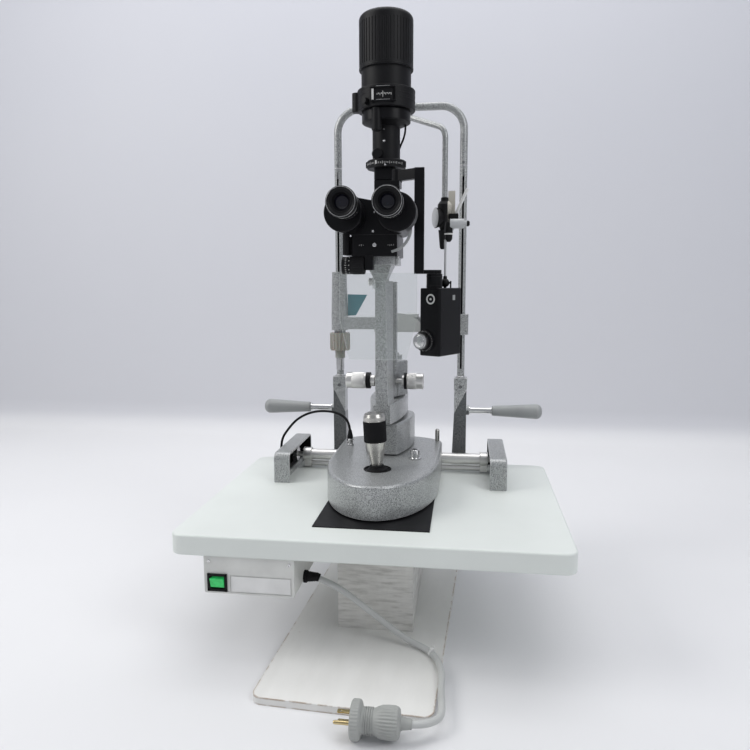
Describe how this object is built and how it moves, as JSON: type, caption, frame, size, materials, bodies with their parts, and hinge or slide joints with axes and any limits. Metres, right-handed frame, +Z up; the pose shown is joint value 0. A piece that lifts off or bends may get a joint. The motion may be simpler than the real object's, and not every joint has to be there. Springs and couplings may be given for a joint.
{
  "type": "slit lamp",
  "caption": "Table-mounted slit lamp: binocular microscope, lamp tower, tonometer, joystick base, chin rest and headrest hoop on an instrument tabletop with power supply and mains cord.",
  "frame": {"origin": "on the floor plane under the middle of the tabletop, which is also the underside of the base board", "axes": "+X to the operator's right, +Y from the operator towards the patient, +Z up"},
  "size_m": [0.55, 0.6026, 0.9495],
  "materials": {
    "laminate_white": "laminated board",
    "case_white": "moulded",
    "painted_white": "satin",
    "board_white": "painted, worn edges",
    "hammertone": "hammered grey",
    "black_enamel": "gloss",
    "black_plastic": "matt",
    "grey_plastic": "satin",
    "plug_grey": "matt",
    "cord_grey": "matt",
    "chrome": "polished",
    "steel": "brushed",
    "rubber_black": "matt",
    "shield_clear": "clear",
    "mirror": "polished",
    "knob_clear": "translucent",
    "cup_grey": "satin",
    "teal": "satin",
    "rocker_green": "gloss",
    "iron": "plain",
    "glass": "clear"
  },
  "bodies": {
    "stand": {"base_board": "board_white", "support_block": "painted_white", "tabletop": "laminate_white", "psu_case": "case_white", "psu_transformer": "iron", "mains_gland": "rubber_black", "mains_cord": "cord_grey", "mains_plug": "plug_grey", "glide_plate": "black_plastic", "rail_cover_left": "hammertone", "rail_cover_right": "hammertone", "gear_racks": "steel", "headrest_legs": "hammertone", "upright_left": "hammertone", "upright_right": "hammertone", "hoop": "hammertone", "handles": "grey_plastic", "fixation_clamp": "hammertone", "lamp_cable_rear": "rubber_black"},
    "power_switch": {"power_rocker": "rocker_green"},
    "carriage": {"carriage_frame": "steel"},
    "axle_shaft": {"axle": "chrome", "pinions": "steel"},
    "base": {"base_casting": "hammertone", "base_sockets": "chrome", "lamp_cable_front": "rubber_black"},
    "lock": {"lock_screw": "chrome"},
    "gimbal": {"joystick_gimbal": "steel"},
    "stick": {"joystick_stick": "rubber_black"},
    "grip": {"joystick_grip": "steel"},
    "lift": {"lift_pedestal": "hammertone"},
    "microscope": {"microscope_arm": "hammertone", "microscope_body": "black_enamel", "breath_shield": "shield_clear"},
    "shield_clamp": {"shield_screw": "steel"},
    "magnifier": {"magnification_knob": "black_plastic"},
    "prism_left": {"prism_housing_left": "black_enamel"},
    "prism_right": {"prism_housing_right": "black_enamel"},
    "ocular_left": {"eyepiece_left": "black_plastic"},
    "ocular_right": {"eyepiece_right": "black_plastic"},
    "illumination": {"lamp_arm": "hammertone", "lamp_mirror": "mirror", "tower_flange": "black_enamel"},
    "slit_width": {"slit_knobs": "steel"},
    "tower": {"tower_tube": "black_enamel", "tower_drum": "black_enamel", "tower_cap": "black_enamel", "lamp_bulb": "glass"},
    "aperture": {"aperture_ring": "black_plastic"},
    "filter": {"filter_stud": "grey_plastic"},
    "tonometer_arm": {"tonometer_bracket": "black_enamel"},
    "tonometer": {"tonometer_body": "black_enamel"},
    "force_drum": {"tonometer_drum": "steel"},
    "feeler": {"tonometer_feeler": "steel"},
    "chin_rest": {"chin_carriage": "hammertone", "chin_cup": "cup_grey", "cover_flap": "teal"},
    "chin_height": {"chin_knob": "knob_clear"},
    "fixation": {"fixation_arm": "hammertone"},
    "fixation_head": {"fixation_lamp": "black_enamel"}
  },
  "joints": [
    {"name": "power_rock", "type": "hinge", "parent": "stand", "child": "power_switch", "pos_m": [-0.207, -0.2, 0.118], "axis": [1, 0, 0], "range_deg": [-10, 0]},
    {"name": "carriage_slide", "type": "slide", "parent": "stand", "child": "carriage", "axis": [0, 1, 0], "range_m": [-0.06, 0.016]},
    {"name": "axle_roll", "type": "hinge", "parent": "carriage", "child": "axle_shaft", "pos_m": [0, 0.15, 0.209], "axis": [1, 0, 0], "range_deg": [-120, 280]},
    {"name": "base_slide", "type": "slide", "parent": "carriage", "child": "base", "axis": [1, 0, 0], "range_m": [-0.045, 0.045]},
    {"name": "lock_turn", "type": "hinge", "parent": "base", "child": "lock", "pos_m": [0.078, 0.156, 0.239], "axis": [0, 0, 1], "range_deg": [0, 180]},
    {"name": "stick_fore_aft", "type": "hinge", "parent": "base", "child": "gimbal", "pos_m": [-0.006, -0.04, 0.225], "axis": [1, 0, 0], "range_deg": [-8, 8]},
    {"name": "stick_sideways", "type": "hinge", "parent": "gimbal", "child": "stick", "pos_m": [-0.006, -0.04, 0.225], "axis": [0, 1, 0], "range_deg": [-8, 8]},
    {"name": "grip_turn", "type": "hinge", "parent": "stick", "child": "grip", "pos_m": [-0.006, -0.04, 0.225], "axis": [-0.0523, 0, 0.9986], "range_deg": [0, 720]},
    {"name": "lift_slide", "type": "slide", "parent": "base", "child": "lift", "axis": [0, 0, 1], "range_m": [0, 0.03]},
    {"name": "microscope_swing", "type": "hinge", "parent": "lift", "child": "microscope", "pos_m": [-0.006, 0.15, 0.31], "axis": [0, 0, 1], "range_deg": [-30, 30]},
    {"name": "illumination_swing", "type": "hinge", "parent": "lift", "child": "illumination", "pos_m": [-0.006, 0.15, 0.335], "axis": [0, 0, 1], "range_deg": [-30, 30]},
    {"name": "shield_screw_turn", "type": "hinge", "parent": "microscope", "child": "shield_clamp", "pos_m": [-0.016, 0.024, 0.528], "axis": [1, 0, 0], "range_deg": [-180, 180]},
    {"name": "magnification_turn", "type": "hinge", "parent": "microscope", "child": "magnifier", "pos_m": [-0.018, -0.054, 0.552], "axis": [1, 0, 0], "range_deg": [-60, 60]},
    {"name": "prism_left_turn", "type": "hinge", "parent": "microscope", "child": "prism_left", "pos_m": [-0.047, -0.059, 0.6247], "axis": [0, 1, 0], "range_deg": [-12, 12]},
    {"name": "prism_right_turn", "type": "hinge", "parent": "microscope", "child": "prism_right", "pos_m": [0.029, -0.059, 0.6247], "axis": [0, 1, 0], "range_deg": [-12, 12]},
    {"name": "dioptre_left", "type": "hinge", "parent": "prism_left", "child": "ocular_left", "pos_m": [-0.04, -0.12, 0.6335], "axis": [0, 1, 0], "range_deg": [-150, 150]},
    {"name": "dioptre_right", "type": "hinge", "parent": "prism_right", "child": "ocular_right", "pos_m": [0.022, -0.12, 0.6335], "axis": [0, 1, 0], "range_deg": [-150, 150]},
    {"name": "slit_width_turn", "type": "hinge", "parent": "illumination", "child": "slit_width", "pos_m": [-0.006, 0.084, 0.36], "axis": [1, 0, 0], "range_deg": [0, 270]},
    {"name": "tower_turn", "type": "hinge", "parent": "illumination", "child": "tower", "pos_m": [-0.006, 0.08, 0.723], "axis": [0, 0, 1], "range_deg": [-90, 90]},
    {"name": "aperture_turn", "type": "hinge", "parent": "tower", "child": "aperture", "pos_m": [-0.006, 0.08, 0.7905], "axis": [0, 0, 1], "range_deg": [-60, 60]},
    {"name": "filter_turn", "type": "hinge", "parent": "tower", "child": "filter", "pos_m": [-0.03181, 0.04314, 0.8085], "axis": [0.5736, 0.8192, 0], "range_deg": [-90, 90]},
    {"name": "tonometer_swing", "type": "hinge", "parent": "microscope", "child": "tonometer_arm", "pos_m": [0.016, 0.036, 0.692], "axis": [0, 0, 1], "range_deg": [-5, 10]},
    {"name": "tonometer_swivel", "type": "hinge", "parent": "tonometer_arm", "child": "tonometer", "pos_m": [0.077, 0.02, 0.531], "axis": [0, 0, 1], "range_deg": [-10, 10]},
    {"name": "force_drum_turn", "type": "hinge", "parent": "tonometer", "child": "force_drum", "pos_m": [0.05989, 0.00429, 0.4355], "axis": [0.515, 0.8572, 0], "range_deg": [0, 300]},
    {"name": "feeler_tilt", "type": "hinge", "parent": "tonometer", "child": "feeler", "pos_m": [0.093, 0.038, 0.526], "axis": [1, 0, 0], "range_deg": [-2, 2]},
    {"name": "chin_slide", "type": "slide", "parent": "stand", "child": "chin_rest", "axis": [0, 0, 1], "range_m": [-0.03, 0.035]},
    {"name": "chin_knob_turn", "type": "hinge", "parent": "chin_rest", "child": "chin_height", "pos_m": [-0.1135, 0.222, 0.415], "axis": [0, 0, 1], "range_deg": [-2160, 2520]},
    {"name": "fixation_swing", "type": "hinge", "parent": "stand", "child": "fixation", "pos_m": [0.0024, 0.222, 0.825], "axis": [0, 0, 1], "range_deg": [0, 20]},
    {"name": "fixation_head_turn", "type": "hinge", "parent": "fixation", "child": "fixation_head", "pos_m": [0.087, 0.156, 0.661], "axis": [0, 0, 1], "range_deg": [-60, 60]}
  ],
  "couplings": [
    {"joint": "axle_roll", "follows": "carriage_slide", "rad_per_m": -74.074},
    {"joint": "grip_turn", "follows": "lift_slide", "rad_per_m": 418.88},
    {"joint": "prism_right_turn", "follows": "prism_left_turn", "ratio": -1},
    {"joint": "chin_knob_turn", "follows": "chin_slide", "rad_per_m": 1256.6}
  ]
}
